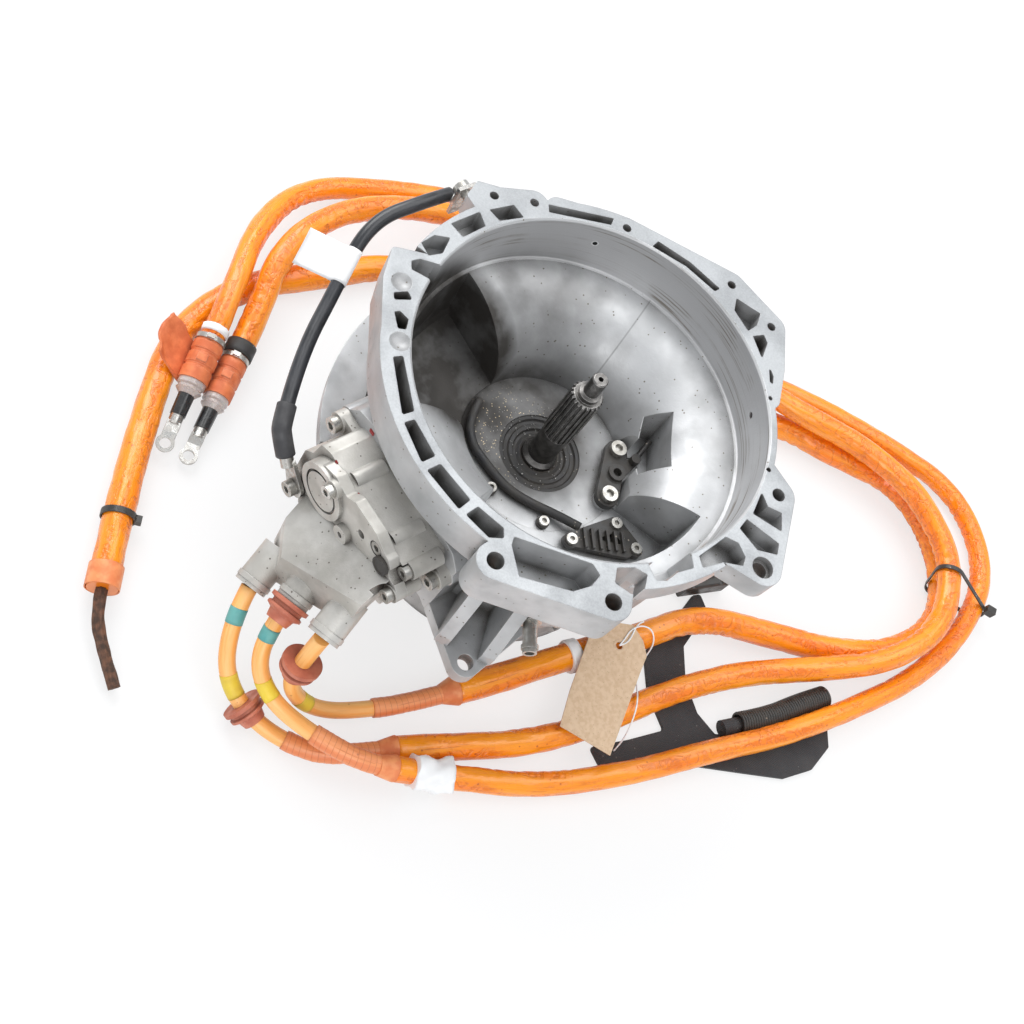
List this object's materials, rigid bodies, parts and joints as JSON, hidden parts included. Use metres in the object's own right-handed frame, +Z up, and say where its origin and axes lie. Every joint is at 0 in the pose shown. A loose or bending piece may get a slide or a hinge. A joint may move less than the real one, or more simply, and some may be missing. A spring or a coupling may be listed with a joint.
{
  "type": "electric car motor",
  "caption": "Electric drive motor standing on its rear cover, with an open ribbed bell housing round a splined shaft, a side terminal box and long coiled orange phase cables.",
  "frame": {"origin": "on the shaft axis at the flat outer face of the rear cover, which is the floor", "axes": "+Z up the shaft out of the bell mouth; -Y is the side that the terminal box faces"},
  "size_m": [0.6604, 0.7971, 0.228],
  "materials": {
    "cast_aluminium": "as-cast with machined faces",
    "blasted_aluminium": "bead-blasted casting",
    "case_aluminium": "as-cast, dirty",
    "zinc_steel": "zinc-plated fasteners",
    "shaft_steel": "oiled dark steel",
    "lamination_steel": "stacked sheet edges",
    "magnet": "nickel-dull",
    "copper": "bare copper",
    "bearing_steel": "ground",
    "cage_brass": "machined",
    "black_rubber": "matt",
    "black_plastic": "moulded",
    "orange_sleeve": "soft moulded sleeve",
    "orange_core": "thin cable jacket",
    "orange_plastic": "moulded plug",
    "clear_seal": "milky seal",
    "grey_jacket": "cable jacket",
    "tinned_copper": "tinned, pressed",
    "harness_tape": "woven tape",
    "orange_tape": "wound tape",
    "cardboard": "plain card"
  },
  "bodies": {
    "housing": {"bell_housing": "cast_aluminium", "motor_case": "case_aluminium", "rear_cover": "case_aluminium", "case_bolts": "zinc_steel", "rear_cover_bolts": "zinc_steel", "stator_core": "lamination_steel", "phase_windings": "copper", "front_bearing_outer": "bearing_steel", "rear_bearing_outer": "bearing_steel", "shaft_seal": "black_rubber", "resolver_stator": "lamination_steel", "terminal_box": "blasted_aluminium", "terminal_lid": "blasted_aluminium", "outlet_housing": "blasted_aluminium", "lid_bolts": "zinc_steel", "box_bolts": "zinc_steel", "vent_plug": "black_rubber", "busbars": "copper", "terminal_block": "black_plastic", "cable_grommets": "black_rubber", "tape_wraps": "orange_tape", "cable_connectors": "orange_plastic", "connector_bands": "zinc_steel", "connector_seals": "clear_seal", "lug_shrinks": "black_rubber", "cable_lugs": "tinned_copper", "torn_end": "black_rubber", "cable_tie": "black_plastic", "bundle_tie": "black_plastic", "ground_cable": "grey_jacket", "ground_lugs": "tinned_copper", "ground_bolts": "zinc_steel", "sensor_bracket": "black_plastic", "sensor_bolts": "zinc_steel", "sensor_tip": "black_plastic", "comb_connector": "black_plastic", "comb_screws": "zinc_steel", "loom_clips": "black_plastic", "bell_loom": "black_rubber", "coolant_nipple": "zinc_steel", "signal_harness": "harness_tape", "harness_plug": "black_plastic", "paper_tag": "cardboard", "phase_cable_1": "orange_core", "cable_sleeve_1": "orange_sleeve", "phase_cable_2": "orange_core", "cable_sleeve_2": "orange_sleeve", "phase_cable_3": "orange_core", "cable_sleeve_3": "orange_sleeve"},
    "rotor": {"rotor_shaft": "shaft_steel", "rotor_core": "lamination_steel", "rotor_magnets": "magnet", "rotor_end_plates": "case_aluminium", "front_bearing_inner": "bearing_steel", "rear_bearing_inner": "bearing_steel", "resolver_rotor": "lamination_steel"},
    "front_ball_set": {"front_bearing_balls": "bearing_steel", "front_bearing_cage": "cage_brass"},
    "rear_ball_set": {"rear_bearing_balls": "bearing_steel", "rear_bearing_cage": "cage_brass"}
  },
  "joints": [
    {"name": "rotor_spin", "type": "hinge", "parent": "housing", "child": "rotor", "pos_m": [0, 0, 0.1], "axis": [0, 0, 1], "continuous": true},
    {"name": "front_ball_spin", "type": "hinge", "parent": "housing", "child": "front_ball_set", "pos_m": [0, 0, 0.1], "axis": [0, 0, 1], "continuous": true},
    {"name": "rear_ball_spin", "type": "hinge", "parent": "housing", "child": "rear_ball_set", "pos_m": [0, 0, 0.0135], "axis": [0, 0, 1], "continuous": true}
  ],
  "couplings": [
    {"joint": "front_ball_spin", "follows": "rotor_spin", "ratio": 0.42105},
    {"joint": "rear_ball_spin", "follows": "rotor_spin", "ratio": 0.41358}
  ]
}
